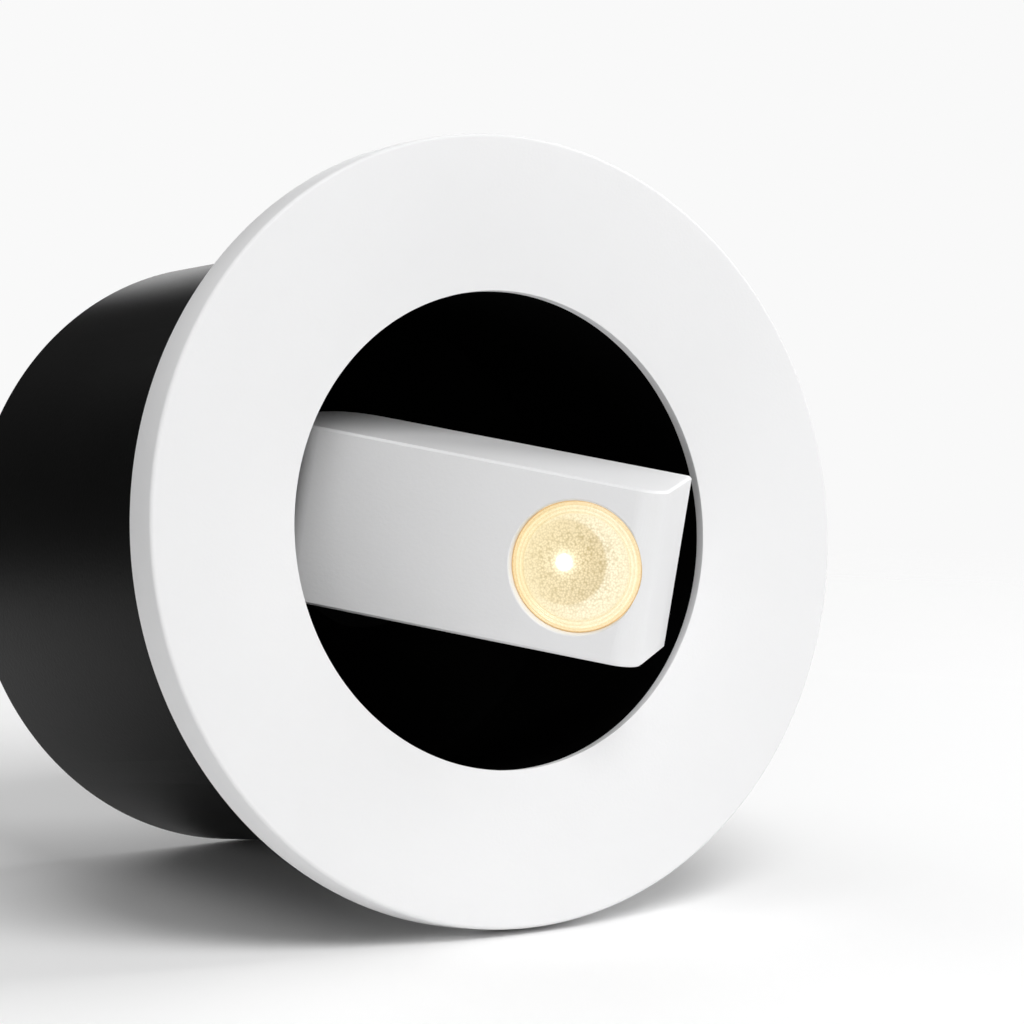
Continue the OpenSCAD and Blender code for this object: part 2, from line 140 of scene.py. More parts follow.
def piece_coordinates(tree, links, place):
    """Object coordinates, turned back from where the piece sits to the axes that it was made in."""
    coordinates = tree.new("ShaderNodeTexCoord")
    mapping = tree.new("ShaderNodeMapping")
    back = place.inverted()
    mapping.inputs["Location"].default_value = back.to_translation()
    mapping.inputs["Rotation"].default_value = back.to_euler("XYZ")
    links.new(coordinates.outputs["Object"], mapping.inputs["Vector"])
    return mapping.outputs["Vector"]


def grain(tree, links, vector, scale, detail=3.0):
    """Soft noise from 0 to 1, finer with a larger scale."""
    noise = tree.new("ShaderNodeTexNoise")
    noise.inputs["Scale"].default_value = scale
    noise.inputs["Detail"].default_value = detail
    links.new(vector, noise.inputs["Vector"])
    return noise.outputs["Fac"]


def shades(tree, links, value, stops):
    """Colours for a value from 0 to 1, as (place, colour) stops."""
    ramp = tree.new("ShaderNodeValToRGB")
    ramp.color_ramp.elements.remove(ramp.color_ramp.elements[1])
    first = ramp.color_ramp.elements[0]
    first.position, first.color = stops[0][0], (*stops[0][1], 1.0)
    for position, color in stops[1:]:
        ramp.color_ramp.elements.new(position).color = (*color, 1.0)
    links.new(value, ramp.inputs["Fac"])
    return ramp.outputs["Color"]


def relief(tree, links, surface, height, strength, depth):
    """Shades a surface as if it were raised where the height is, by at most the depth."""
    bump = tree.new("ShaderNodeBump")
    bump.inputs["Strength"].default_value = strength
    bump.inputs["Distance"].default_value = depth * MM
    links.new(height, bump.inputs["Height"])
    links.new(bump.outputs["Normal"], surface.inputs["Normal"])


def smooth_finish(name, low, high, roughness, fineness, depth, place, gloss=0.5, metallic=0.0, mottle=45.0):
    """Paint, plastic or plain metal: two close shades in soft clouds, and a fine grain in relief."""
    material, tree, links, surface = new_material(name, high, roughness, metallic)
    surface.inputs["Specular IOR Level"].default_value = gloss
    vector = piece_coordinates(tree, links, place)
    links.new(shades(tree, links, grain(tree, links, vector, mottle), ((0.3, low), (0.7, high))),
              surface.inputs["Base Color"])
    relief(tree, links, surface, grain(tree, links, vector, fineness, 2.0), 0.35, depth)
    return material


WALL = Matrix.Identity(4)
white_ring = smooth_finish("white_ring", (0.84, 0.84, 0.845), (0.86, 0.86, 0.865), 0.5, 3200.0, 0.03, WALL)
ring = turned("ring_body", [
    (BORE_R, -RING_T), (RING_R, -RING_T), (RING_R, 0.0), (GROOVE_OUT_R, 0.0), (GROOVE_OUT_R, -GROOVE_D),
    (GROOVE_IN_R, -GROOVE_D), (GROOVE_IN_R, 0.0), (CUP_SEAT_R, 0.0), (CUP_SEAT_R, -CUP_SEAT_D),
    (CUP_R, -CUP_SEAT_D), (CUP_R, LIP_T - RING_T), (BORE_R, LIP_T - RING_T)], 320, solid=False)
soften(ring, RING_FRONT_EDGE, (RING_R, -RING_T))
soften(ring, RING_BACK_EDGE, (RING_R, 0.0))
soften(ring, BORE_EDGE, (BORE_R, -RING_T), (BORE_R, LIP_T - RING_T))
settle(ring, LATHE)
hand_over(ring, white_ring, "base", "white_paint", "trim_ring")

# ---------------------------------------------------------------------------------------------------------------
# Gasket: a flat ring of soft rubber, punched from sheet. It lies in the groove behind the trim ring, and keeps
# damp and draught out of the hole in the wall.


def dress(node, material):
    """Gives its finish to a CAD node whose shape stays as it is."""
    nodes[node].data.materials.clear()
    nodes[node].data.materials.append(material)


rubber = smooth_finish("rubber", (0.018, 0.018, 0.018), (0.028, 0.028, 0.028), 0.75, 1500.0, 0.06, WALL)
dress("wall_gasket", rubber)

# ---------------------------------------------------------------------------------------------------------------
# Housing: a drawn can of thin metal, powder coated black, with an inward flange in front that the ring is screwed
# to, a rounded rear rim, two bores in its side for the screws that hold it in the wall, and three bosses inside.
CAN_R, CAN_DEPTH, CAN_WALL, FLANGE_IN_R, FLANGE_T = 31.5, 53.2, 1.5, 25.9, 1.6
CAN_BACK_EDGE, CAN_THIN_EDGE, CAN_BEND = 0.5, 0.15, 0.3
SIDE_BORE_R, SIDE_BORE_Y, SIDE_BORE_TURNS = 2.1, 14.0, (45, 135)
OVER = 1.0
BOSS_R, BOSS_FRONT, BOSS_CIRCLE, BOSS_TURN, COVER_T = 2.5, 44.2, 27.6, 30, 2.0


def cut(piece, cutter):
    modifier = piece.modifiers.new("cut", "BOOLEAN")
    modifier.operation = "DIFFERENCE"
    modifier.solver = "EXACT"
    modifier.object = cutter
    only(piece)
    bpy.ops.object.modifier_apply(modifier="cut")
    bpy.data.objects.remove(cutter, do_unlink=True)


def joined(name, pieces):
    only(pieces[0])
    for piece in pieces:
        piece.select_set(True)
    bpy.ops.object.join()
    whole = bpy.context.object
    whole.name = name
    return whole


def shifted(place, x, y, z):
    return place @ Matrix.Translation((x * MM, y * MM, z * MM))


def third(count, start, circle):
    """One of three places round the axis of the light."""
    return shifted(Matrix.Rotation(math.radians(start + 120 * count), 4, "Y"), 0, 0, circle)


black_housing = smooth_finish("black_housing", (0.0025, 0.0025, 0.0025), (0.004, 0.004, 0.004), 0.42, 2600.0, 0.04,
                              WALL, gloss=0.08)
shell = turned("housing_shell", [
    (CAN_R, 0.0), (CAN_R, CAN_DEPTH), (CAN_R - CAN_WALL, CAN_DEPTH), (CAN_R - CAN_WALL, FLANGE_T),
    (FLANGE_IN_R, FLANGE_T), (FLANGE_IN_R, 0.0)], 256, solid=False)
soften(shell, CAN_BACK_EDGE, (CAN_R, CAN_DEPTH))
soften(shell, CAN_THIN_EDGE, (CAN_R, 0.0), (CAN_R - CAN_WALL, CAN_DEPTH))
soften(shell, CAN_BEND, (CAN_R - CAN_WALL, FLANGE_T))
settle(shell, LATHE)
for turn in SIDE_BORE_TURNS:
    across = shifted(WALL, 0, SIDE_BORE_Y, 0) @ Matrix.Rotation(math.radians(turn), 4, "Y") @ Matrix.Rotation(
        math.radians(90), 4, "X") @ LATHE
    drill = turned("side_drill", [(SIDE_BORE_R, -CAN_R - OVER), (SIDE_BORE_R, CAN_WALL - CAN_R + OVER)], 48)
    cut(shell, settle(drill, across))
bosses = [shell]
for i in range(3):
    boss = turned("boss", [(BOSS_R, BOSS_FRONT), (BOSS_R, CAN_DEPTH - COVER_T)], 32)
    soften(boss, CAN_BEND, (BOSS_R, BOSS_FRONT))
    bosses.append(settle(boss, third(i, BOSS_TURN, BOSS_CIRCLE) @ LATHE))
housing = joined("housing_shell", bosses)
smoothed(housing)
hand_over(housing, black_housing, "base", "black_housing", "housing_can")

# ---------------------------------------------------------------------------------------------------------------
# Cup: a deep-drawn bowl, coated dull black inside, that the head folds into. Its rim sits in the ring's back, its
# floor carries the spindle, and on that floor's back are three posts for the driver board and the stop of the turn.
CUP_IN_R, CUP_FLOOR_Y, CUP_BACK_Y, SPINDLE_BORE_R = 24.5, 26.0, 28.0, 4.05
POST_R, POST_CIRCLE, POST_BACK = 2.0, 20.0, 36.0
CUP_OUT_R, CUP_RIM_R, CUP_FRONT = 25.7, 26.5, -3.1
FLOOR_BEND, CUP_BACK_EDGE, CUP_THIN_EDGE, POST_EDGE = 1.2, 0.3, 0.1, 0.2
STOP_HALF, STOP_IN, STOP_OUT, STOP_BACK, ROOT = 0.7, 8.2, 9.8, 31.35, 0.1


def block(name, low, high, place):
    """A box between two corners, in the millimetres of its place."""
    middle = [(a + b) / 2 * MM for a, b in zip(low, high)]
    bpy.ops.mesh.primitive_cube_add(size=1, location=middle, scale=[(b - a) * MM for a, b in zip(low, high)])
    piece = bpy.context.object
    piece.name = name
    bpy.ops.object.transform_apply(location=True, rotation=True, scale=True)
    return settle(piece, place)


black_cup = smooth_finish("black_cup", (0.0008, 0.0008, 0.0008), (0.001, 0.001, 0.001), 0.9, 2600.0, 0.03, WALL,
                          gloss=0.03)
cup = turned("cup_shell", [
    (CUP_IN_R, CUP_FRONT), (CUP_OUT_R, CUP_FRONT), (CUP_OUT_R, -CUP_SEAT_D), (CUP_RIM_R, -CUP_SEAT_D),
    (CUP_RIM_R, 0.0), (CUP_OUT_R, 0.0), (CUP_OUT_R, CUP_BACK_Y), (SPINDLE_BORE_R, CUP_BACK_Y),
    (SPINDLE_BORE_R, CUP_FLOOR_Y), (CUP_IN_R, CUP_FLOOR_Y)], 224, solid=False)
soften(cup, FLOOR_BEND, (CUP_IN_R, CUP_FLOOR_Y))
soften(cup, CUP_BACK_EDGE, (CUP_OUT_R, CUP_BACK_Y))
soften(cup, CUP_THIN_EDGE, (CUP_IN_R, CUP_FRONT), (SPINDLE_BORE_R, CUP_FLOOR_Y))
settle(cup, LATHE)
posts = [cup, block("stop", (-STOP_HALF, CUP_BACK_Y - ROOT, -STOP_OUT), (STOP_HALF, STOP_BACK, -STOP_IN), WALL)]
for i in range(3):
    post = turned("post", [(POST_R, CUP_BACK_Y - ROOT), (POST_R, POST_BACK)], 32)
    soften(post, POST_EDGE, (POST_R, POST_BACK))
    posts.append(settle(post, third(i, 0, POST_CIRCLE) @ LATHE))
cup = joined("cup_shell", posts)
smoothed(cup)
hand_over(cup, black_cup, "base", "black_cup", "light_cup")

# ---------------------------------------------------------------------------------------------------------------
# Ring screws: small screws of zinc-plated steel. They go in from behind, through the flange of the housing, and
# hold the ring to it.


def plain_metal(name, color, roughness, place):
    dark = tuple(0.86 * part for part in color)
    return smooth_finish(name, dark, color, roughness, 2500.0, 0.03, place, metallic=1.0, mottle=300.0)


steel = plain_metal("zinc_steel", (0.62, 0.63, 0.65), 0.32, WALL)
dress("ring_screws", steel)

# ---------------------------------------------------------------------------------------------------------------
# Driver: a round green board on the posts behind the cup, with its screws, a taped coil, a sleeved capacitor, a
# pale terminal block with brass clamps for the mains, and the ends of the two leads that feed the head.
board_green = smooth_finish("board_green", (0.010, 0.075, 0.03), (0.014, 0.10, 0.04), 0.35, 900.0, 0.03, WALL)
coil_tape = smooth_finish("coil_tape", (0.62, 0.44, 0.05), (0.70, 0.50, 0.06), 0.4, 700.0, 0.05, WALL)
sleeve_blue = smooth_finish("sleeve_blue", (0.010, 0.02, 0.09), (0.014, 0.03, 0.12), 0.3, 900.0, 0.03, WALL)
terminal_plastic = smooth_finish("terminal_plastic", (0.72, 0.72, 0.68), (0.78, 0.78, 0.74), 0.4, 900.0, 0.04, WALL)
brass = plain_metal("brass", (0.78, 0.58, 0.26), 0.3, WALL)
lead_red = smooth_finish("lead_red", (0.28, 0.008, 0.008), (0.34, 0.012, 0.012), 0.4, 900.0, 0.03, WALL)
dress("driver_board", board_green)
dress("driver_board_screws", steel)
dress("driver_coil", coil_tape)
dress("driver_capacitor", sleeve_blue)
dress("terminal_block", terminal_plastic)
dress("terminal_screws", brass)
dress("output_leads", lead_red)

# ---------------------------------------------------------------------------------------------------------------
# Rear cover: a plain black disc that closes the can. Three sunk screws with crossed slots hold it to the bosses,
# and a rubber grommet in it lets the mains cable through.
COVER_R, COVER_FRONT = 29.95, CAN_DEPTH - COVER_T
COVER_BACK_EDGE, COVER_FRONT_EDGE, LIP_EDGE = 0.35, 0.1, 0.4
CABLE_R, GROMMET_LIP_R, GROMMET_R, GROMMET_FRONT, GROMMET_Z = 3.0, 6.5, 5.0, 50.0, -12.0
COVER_SCREW_R, COVER_SCREW_L, COVER_SCREW_HEAD_R, COVER_SCREW_HEAD_H = 1.0, 6.5, 2.0, 1.1
SLOT_D, SLOT_REACH_SHARE, SLOT_HALF_SHARE = 0.5, 0.62, 0.12
SCREW_EDGE, TIP_EDGE, DRILL_REACH = 0.12, 0.1, 5.0


def screw(place, shank_r, shank_l, head_r, head_h, edge):
    """A screw whose shank starts at its place and runs along the depth to its head, which has a cross cut in it."""
    whole = shank_l + head_h
    piece = turned("screw", [(shank_r, 0.0), (shank_r, shank_l), (head_r, shank_l), (head_r, whole)], 48)
    soften(piece, TIP_EDGE, (shank_r, 0.0))
    soften(piece, edge, (head_r, whole))
    settle(piece, place @ LATHE)
    for turn in (0, 90):
        crossed = place @ Matrix.Rotation(math.radians(turn), 4, "Y")
        reach, half = SLOT_REACH_SHARE * head_r, SLOT_HALF_SHARE * head_r
        cut(piece, block("slot", (-reach, whole - SLOT_D, -half), (reach, whole + OVER, half), crossed))
    return piece


def sink(plate, place, hole_r, head_r, back, head_h):
    """Cuts a stepped hole for a sunk screw, whose head ends level with the back of the plate."""
    tool = turned("sink", [(hole_r, back - DRILL_REACH), (hole_r, back - head_h), (head_r, back - head_h),
                           (head_r, back + OVER)], 48)
    cut(plate, settle(tool, place @ LATHE))


cover = turned("cover_plate", [(COVER_R, COVER_FRONT), (COVER_R, CAN_DEPTH)], 192)
soften(cover, COVER_BACK_EDGE, (COVER_R, CAN_DEPTH))
soften(cover, COVER_FRONT_EDGE, (COVER_R, COVER_FRONT))
settle(cover, LATHE)
cable_drill = turned("cable_drill", [(GROMMET_R, COVER_FRONT - OVER), (GROMMET_R, CAN_DEPTH + OVER)], 96)
cut(cover, settle(cable_drill, shifted(WALL, 0, 0, GROMMET_Z) @ LATHE))
cover_screws = []
for i in range(3):
    spot = third(i, BOSS_TURN, BOSS_CIRCLE)
    sink(cover, spot, COVER_SCREW_R, COVER_SCREW_HEAD_R, CAN_DEPTH, COVER_SCREW_HEAD_H)
    tip = shifted(spot, 0, CAN_DEPTH - COVER_SCREW_L, 0)
    cover_screws.append(screw(tip, COVER_SCREW_R, COVER_SCREW_L - COVER_SCREW_HEAD_H, COVER_SCREW_HEAD_R,
                              COVER_SCREW_HEAD_H, SCREW_EDGE))
smoothed(cover)
hand_over(cover, black_housing, "base", "black_housing", "rear_cover")
cover_screws = joined("cover_screws", cover_screws)
smoothed(cover_screws)
hand_over(cover_screws, steel, "base", "screw_steel", "rear_cover_screws")

grommet = turned("grommet", [
    (CABLE_R, GROMMET_FRONT), (GROMMET_LIP_R, GROMMET_FRONT), (GROMMET_LIP_R, COVER_FRONT),
    (GROMMET_R, COVER_FRONT), (GROMMET_R, CAN_DEPTH), (CABLE_R, CAN_DEPTH)], 96, solid=False)
soften(grommet, LIP_EDGE, (CABLE_R, GROMMET_FRONT), (GROMMET_LIP_R, GROMMET_FRONT))
soften(grommet, COVER_BACK_EDGE, (GROMMET_R, CAN_DEPTH), (CABLE_R, CAN_DEPTH))
settle(grommet, shifted(WALL, 0, 0, GROMMET_Z) @ LATHE)
hand_over(grommet, rubber, "base", "gasket_rubber", "cable_grommet")

# ---------------------------------------------------------------------------------------------------------------
# Spindle and fork: a black hub turns in the cup's floor on a fibre washer and a brass nut, and two round-headed
# screws hold the fork to its front. The fork carries the steel pin on which the head tilts.
PIVOT_Y, TURN = 3.0, 21.0
FORK_SCREW_Y, FORK_SCREW_OFF, FORK_SCREW_R, FORK_SCREW_L = 22.5, 5.6, 0.9, 2.7
FORK_SCREW_HEAD_R, FORK_SCREW_HEAD_H, FORK_SCREW_DOME = 1.5, 1.2, 0.45

TURNED = shifted(WALL, 0, PIVOT_Y, 0) @ Matrix.Rotation(math.radians(TURN), 4, "Y")
black_fork = smooth_finish("black_fork", (0.0015, 0.0015, 0.0015), (0.002, 0.002, 0.002), 0.7, 2600.0, 0.03, TURNED,
                           gloss=0.1)
fibre = smooth_finish("fibre", (0.10, 0.05, 0.025), (0.16, 0.08, 0.04), 0.8, 1800.0, 0.06, WALL)
fork_bolts = []
for side in (-1, 1):
    spot = shifted(TURNED, 0, FORK_SCREW_Y, side * FORK_SCREW_OFF) @ Matrix.Rotation(math.radians(180), 4, "X")
    fork_bolts.append(screw(spot, FORK_SCREW_R, FORK_SCREW_L, FORK_SCREW_HEAD_R, FORK_SCREW_HEAD_H,
                            FORK_SCREW_DOME))
fork_bolts = joined("fork_bolts", fork_bolts)
smoothed(fork_bolts)
hand_over(fork_bolts, black_fork, "turret", "black_fork", "fork_screws")
dress("turret_hub", black_fork)
dress("fork", black_fork)
dress("friction_washer", fibre)
dress("retaining_nut", brass)

# ---------------------------------------------------------------------------------------------------------------
# Knuckle: a steel boss on the tilt pin, with an axle that runs into the head. A brass bush in the head turns on the
# axle, and a steel clip keeps it there.
TILT, TWIST = -42.0, 21.5
TILTED = TURNED @ Matrix.Rotation(math.radians(TILT), 4, "Z")
HEAD = TILTED @ Matrix.Rotation(math.radians(TWIST), 4, "X")
pivot_steel = plain_metal("pivot_steel", (0.55, 0.56, 0.58), 0.28, HEAD)
for node in ("tilt_pin", "knuckle", "axle_clip"):
    dress(node, pivot_steel)
dress("axle_bush", brass)

# ---------------------------------------------------------------------------------------------------------------
# Head: a die-cast bar, painted satin white, with upright edges that are rounded in front and at the plain end's
# back. It is hollow: a pocket clears the fork, and a room behind the lens holds the light, with a plate over it.
HEAD_LEFT, HEAD_RIGHT, HEAD_FRONT, HEAD_BACK, HEAD_HALF = -17.9, 20.9, -7.0, 7.0, 9.05
FRONT_R, BACK_R, HEAD_EDGE = 2.8, 6.0, 0.25
POCKET_LEFT, POCKET_RIGHT, POCKET_FRONT, POCKET_HALF = -14.6, 3.4, -4.85, 7.6
ROOM_LEFT, ROOM_RIGHT, ROOM_HALF, SHELF_BACK, BEARING_END = 5.0, 19.5, 7.4, -3.0, 8.0
PLATE_LEFT, PLATE_FRONT, PLATE_HALF, PLATE_GAP, PLATE_EDGE = 4.3, 5.6, 7.9, 0.1, 0.2
LENS_U, LENS_R, LENS_BACK = 13.1, 6.65, -4.9
LENS_SEAT = [(7.0, -8.0), (7.0, -7.02), (6.86, -6.93), (6.72, -6.62), (6.7, -4.8)]
BUSH_R, BUSH_START = 2.6, 2.4
PLATE_SCREW_R, PLATE_SCREW_L, PLATE_SCREW_HEAD_R, PLATE_SCREW_HEAD_H = 0.9, 4.0, 1.5, 0.8
PLATE_SCREW_SPOTS = ((6.6, 5.2), (6.6, -5.2), (17.3, 0.0))


def round_uprights(piece, radius, steps, *corners):
    """Rounds the upright edges of a box that stand at the given (u, v) corners."""
    only(piece)
    bpy.ops.object.mode_set(mode="EDIT")
    bpy.ops.mesh.select_mode(type="EDGE")
    bpy.ops.mesh.select_all(action="DESELECT")
    mesh = bmesh.from_edit_mesh(piece.data)
    for edge in mesh.edges:
        for u, v in corners:
            if all(abs(p.co.x - u * MM) < SAME_PLACE and abs(p.co.y - v * MM) < SAME_PLACE for p in edge.verts):
                edge.select_set(True)
    bmesh.update_edit_mesh(piece.data)
    bpy.ops.mesh.bevel(offset=radius * MM, segments=steps, profile=0.5, affect="EDGES")
    bpy.ops.object.mode_set(mode="OBJECT")


def break_rims(piece, width, steps):
    """Breaks the edges round the top and the bottom of a piece."""
    only(piece)
    bpy.ops.object.mode_set(mode="EDIT")
    bpy.ops.mesh.select_mode(type="FACE")
    bpy.ops.mesh.select_all(action="DESELECT")
    mesh = bmesh.from_edit_mesh(piece.data)
    for face in mesh.faces:
        face.select_set(abs(face.normal.z) > 0.9)
    bmesh.update_edit_mesh(piece.data)
    bpy.ops.mesh.region_to_loop()
    bpy.ops.mesh.bevel(offset=width * MM, segments=steps, profile=0.5, affect="EDGES")
    bpy.ops.object.mode_set(mode="OBJECT")


white_head = smooth_finish("white_head", (0.83, 0.83, 0.835), (0.85, 0.85, 0.855), 0.46, 3200.0, 0.03, HEAD)
bar = block("head_body", (HEAD_LEFT, HEAD_FRONT, -HEAD_HALF), (HEAD_RIGHT, HEAD_BACK, HEAD_HALF), WALL)
round_uprights(bar, FRONT_R, 14, (HEAD_LEFT, HEAD_FRONT), (HEAD_RIGHT, HEAD_FRONT))
round_uprights(bar, BACK_R, 18, (HEAD_LEFT, HEAD_BACK))
round_uprights(bar, HEAD_EDGE, 3, (HEAD_RIGHT, HEAD_BACK))
break_rims(bar, HEAD_EDGE, 1)
settle(bar, HEAD)
cut(bar, block("pocket", (POCKET_LEFT, POCKET_FRONT, -POCKET_HALF),
               (POCKET_RIGHT, HEAD_BACK + OVER, POCKET_HALF), HEAD))
cut(bar, block("room", (ROOM_LEFT, LENS_BACK, -ROOM_HALF), (ROOM_RIGHT, SHELF_BACK, ROOM_HALF), HEAD))
cut(bar, block("deep_room", (BEARING_END, SHELF_BACK - OVER, -ROOM_HALF),
               (ROOM_RIGHT, PLATE_FRONT + OVER, ROOM_HALF), HEAD))
cut(bar, block("plate_seat", (PLATE_LEFT, PLATE_FRONT, -PLATE_HALF),
               (ROOM_RIGHT + PLATE_GAP, HEAD_BACK + OVER, PLATE_HALF), HEAD))
lens_place = shifted(HEAD, LENS_U, 0, 0)
cut(bar, settle(turned("lens_seat", LENS_SEAT, 160), lens_place @ LATHE))
axle_tool = turned("axle_bore", [(BUSH_R, BUSH_START), (BUSH_R, BEARING_END + OVER)], 64)
cut(bar, settle(axle_tool, HEAD @ Matrix.Rotation(math.radians(-90), 4, "Z") @ LATHE))
smoothed(bar, 25.0)
hand_over(bar, white_head, "head", "white_paint", "head_shell")

plate = block("back_plate", (PLATE_LEFT + PLATE_GAP, PLATE_FRONT, PLATE_GAP - PLATE_HALF),
              (ROOM_RIGHT, HEAD_BACK, PLATE_HALF - PLATE_GAP), WALL)
break_rims(plate, PLATE_EDGE, 2)
settle(plate, HEAD)
plate_screws = []
for u, w in PLATE_SCREW_SPOTS:
    spot = shifted(HEAD, u, 0, w)
    sink(plate, spot, PLATE_SCREW_R, PLATE_SCREW_HEAD_R, HEAD_BACK, PLATE_SCREW_HEAD_H)
    tip = shifted(spot, 0, HEAD_BACK - PLATE_SCREW_L, 0)
    plate_screws.append(screw(tip, PLATE_SCREW_R, PLATE_SCREW_L - PLATE_SCREW_HEAD_H, PLATE_SCREW_HEAD_R,
                              PLATE_SCREW_HEAD_H, SCREW_EDGE))
smoothed(plate)
hand_over(plate, white_head, "head", "white_paint", "head_back_plate")
plate_screws = joined("plate_screws", plate_screws)
smoothed(plate_screws)
hand_over(plate_screws, steel, "head", "screw_steel", "back_plate_screws")

# ---------------------------------------------------------------------------------------------------------------
# Lens: a pressed disc of warm glass, a little domed, with fine ringed steps at its edge and a pebbled middle. It
# glows with painted light, in rings and pebbles, and shows a painted white hot spot off its middle for the source,
# in a painted, slightly darker round field.
LENS_FRONT, STEP_START, STEP_PITCH, STEPS = -6.2, 5.42, 0.2, 6
STEP_FRONT, STEP_FALL, STEP_DEEP = -6.44, 0.03, 0.12
DOME_R, DOME_FRONT, DOME_RISE, DOME_ROUNDS = 5.3, -6.62, 0.22, 28
# Places and reaches of the painted hot spot (glare) and of the painted darker field round it.
SPOT_U, SPOT_W, FIELD_REACH, GLARE_REACH = -1.25, 0.25, 10.0, 2.4
FIELD_FADE_LEFT, FIELD_FADE_RIGHT = -4.5, 1.5
PEBBLE_FINENESS, BODY_SHARE, LENS_GLOW, LENS_DENSITY = 4600.0, 0.42, 0.78, 0.88


def from_axis(tree, links, vector, reach, stops):
    """Shades that change with the distance from the depth axis, whose last stop is at the reach."""
    flat = tree.new("ShaderNodeVectorMath")
    flat.operation = "MULTIPLY"
    flat.inputs[1].default_value = (1.0, 0.0, 1.0)
    links.new(vector, flat.inputs[0])
    length = tree.new("ShaderNodeVectorMath")
    length.operation = "LENGTH"
    links.new(flat.outputs["Vector"], length.inputs[0])
    share = tree.new("ShaderNodeMath")
    share.operation = "DIVIDE"
    share.inputs[1].default_value = reach * MM
    links.new(length.outputs["Value"], share.inputs[0])
    return shades(tree, links, share.outputs["Value"], stops)


def blend(tree, links, kind, share, first, second):
    """Mixes two colours. A number as the share is set on its socket, and so is a colour given in numbers."""
    mix = tree.new("ShaderNodeMix")
    mix.data_type, mix.blend_type = "RGBA", kind
    for socket, value in (("Factor", share), ("A", first), ("B", second)):
        if isinstance(value, (float, tuple)):
            mix.inputs[socket].default_value = value
        else:
            links.new(value, mix.inputs[socket])
    return mix.outputs["Result"]


def lens_glass():
    material, tree, links, surface = new_material("lens_warm", (0.90, 0.79, 0.53), 0.2)
    vector = piece_coordinates(tree, links, lens_place)
    cells = tree.new("ShaderNodeTexVoronoi")
    cells.inputs["Scale"].default_value = PEBBLE_FINENESS
    links.new(vector, cells.inputs["Vector"])
    # Painted light: the pebble cells glow lighter at their middles and darker at their edges.
    pebbles = shades(tree, links, cells.outputs["Distance"], ((0.2, (1.06, 1.06, 1.08)), (0.9, (0.62, 0.58, 0.45))))
    # Painted light: the ringed steps glow in alternating lighter and darker rings, deep amber at the rim.
    rings = from_axis(tree, links, vector, LENS_R, (
        (0.0, (0.92, 0.81, 0.54)), (0.80, (0.92, 0.81, 0.54)), (0.83, (0.82, 0.70, 0.43)),
        (0.86, (0.94, 0.84, 0.58)), (0.89, (0.84, 0.72, 0.45)), (0.92, (0.95, 0.86, 0.60)),
        (0.95, (0.83, 0.68, 0.39)), (0.975, (0.92, 0.77, 0.48)), (1.0, (0.64, 0.41, 0.16))))
    # The painted hot spot and the painted field are centred here, off the lens's middle.
    aside = tree.new("ShaderNodeVectorMath")
    aside.operation = "SUBTRACT"
    aside.inputs[1].default_value = (SPOT_U * MM, 0.0, SPOT_W * MM)
    links.new(vector, aside.inputs[0])
    spot = aside.outputs["Vector"]
    # Painted shade and reflection: a darker round field about the hot spot, with a light cool band outside it,
    # faded out towards the left.
    painted_field = from_axis(tree, links, spot, FIELD_REACH, (
        (0.0, (0.95, 0.93, 0.90)), (0.42, (0.88, 0.86, 0.84)), (0.445, (1.07, 1.11, 1.28)),
        (1.0, (1.02, 1.04, 1.10))))
    split = tree.new("ShaderNodeSeparateXYZ")
    links.new(vector, split.inputs["Vector"])
    across = tree.new("ShaderNodeMapRange")
    across.inputs["From Min"].default_value = FIELD_FADE_LEFT * MM
    across.inputs["From Max"].default_value = FIELD_FADE_RIGHT * MM
    links.new(split.outputs["X"], across.inputs["Value"])
    plain = (1.0, 1.0, 1.0, 1.0)
    right_painted_field = blend(tree, links, "MIX", across.outputs["Result"], plain, painted_field)
    shaded = blend(tree, links, "MULTIPLY", 1.0, rings, right_painted_field)
    # Painted light: the glow is brightest in the middle and falls to a quarter over the ringed edge.
    middle = from_axis(tree, links, vector, LENS_R, (
        (0.0, (1.0, 1.0, 1.0)), (0.5, (0.8, 0.8, 0.8)), (0.80, (0.5, 0.5, 0.5)), (0.82, (0.25, 0.25, 0.25)),
        (1.0, (0.25, 0.25, 0.25))))
    glass = blend(tree, links, "MULTIPLY", middle, shaded, pebbles)
    # Painted highlight: the white hot spot that stands for the source seen through the glass.
    glare = from_axis(tree, links, spot, GLARE_REACH, (
        (0.0, (1.6, 1.6, 1.5)), (0.29, (1.4, 1.4, 1.3)), (0.42, (0.35, 0.35, 0.32)), (0.65, (0.09, 0.09, 0.08)),
        (1.0, (0.0, 0.0, 0.0))))
    black = (0.0, 0.0, 0.0, 1.0)
    links.new(blend(tree, links, "MIX", BODY_SHARE, black, glass), surface.inputs["Base Color"])
    # Painted light: the lens emits this colour, hot spot and all, though it is no lamp.
    links.new(blend(tree, links, "ADD", 1.0, glass, glare), surface.inputs["Emission Color"])
    surface.inputs["Emission Strength"].default_value = LENS_GLOW
    surface.inputs["Coat Weight"].default_value = 0.4
    surface.inputs["Coat Roughness"].default_value = 0.06
    relief(tree, links, surface, cells.outputs["Distance"], 0.4, 0.05)
    clear = tree.new("ShaderNodeBsdfTransparent")
    links.new(glass, clear.inputs["Color"])
    mix = tree.new("ShaderNodeMixShader")
    mix.inputs["Fac"].default_value = LENS_DENSITY
    links.new(clear.outputs["BSDF"], mix.inputs[1])
    links.new(surface.outputs["BSDF"], mix.inputs[2])
    links.new(mix.outputs["Shader"], tree["Material Output"].inputs["Surface"])
    return material


